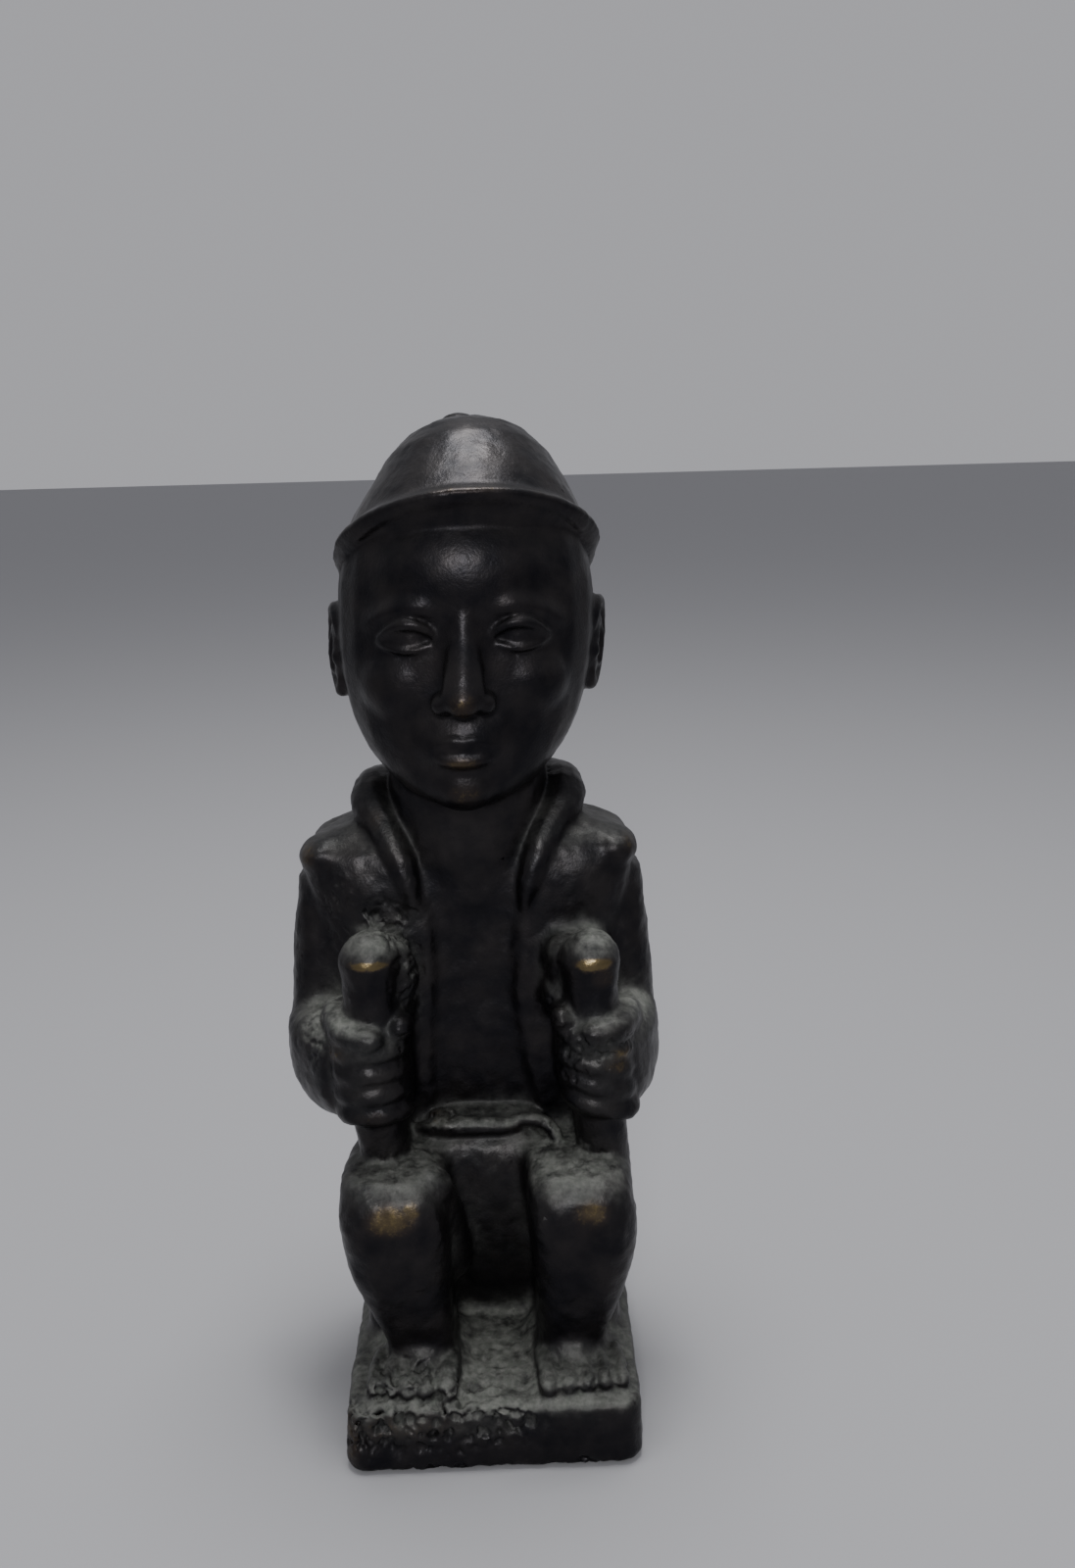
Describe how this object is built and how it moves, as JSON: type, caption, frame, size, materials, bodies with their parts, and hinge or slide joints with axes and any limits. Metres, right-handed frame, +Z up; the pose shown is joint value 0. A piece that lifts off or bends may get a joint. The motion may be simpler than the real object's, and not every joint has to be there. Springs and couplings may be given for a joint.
{
  "type": "seated figure sculpture",
  "caption": "Cast brass figure of a man in a brimmed cap and open jacket, seated on a block with a plinth, gripping an upright baton in each fist.",
  "frame": {"origin": "on the plinth's underside, midway between its left and right edges and 40.7 mm behind its front edge", "axes": "+Z up the figure, -Y the way that the figure faces, +X towards the figure's own left hand"},
  "size_m": [0.0928, 0.0789, 0.2407],
  "materials": {
    "casting": "dark patinated satin"
  },
  "bodies": {
    "root": {"seated_figure": "casting"}
  },
  "joints": []
}
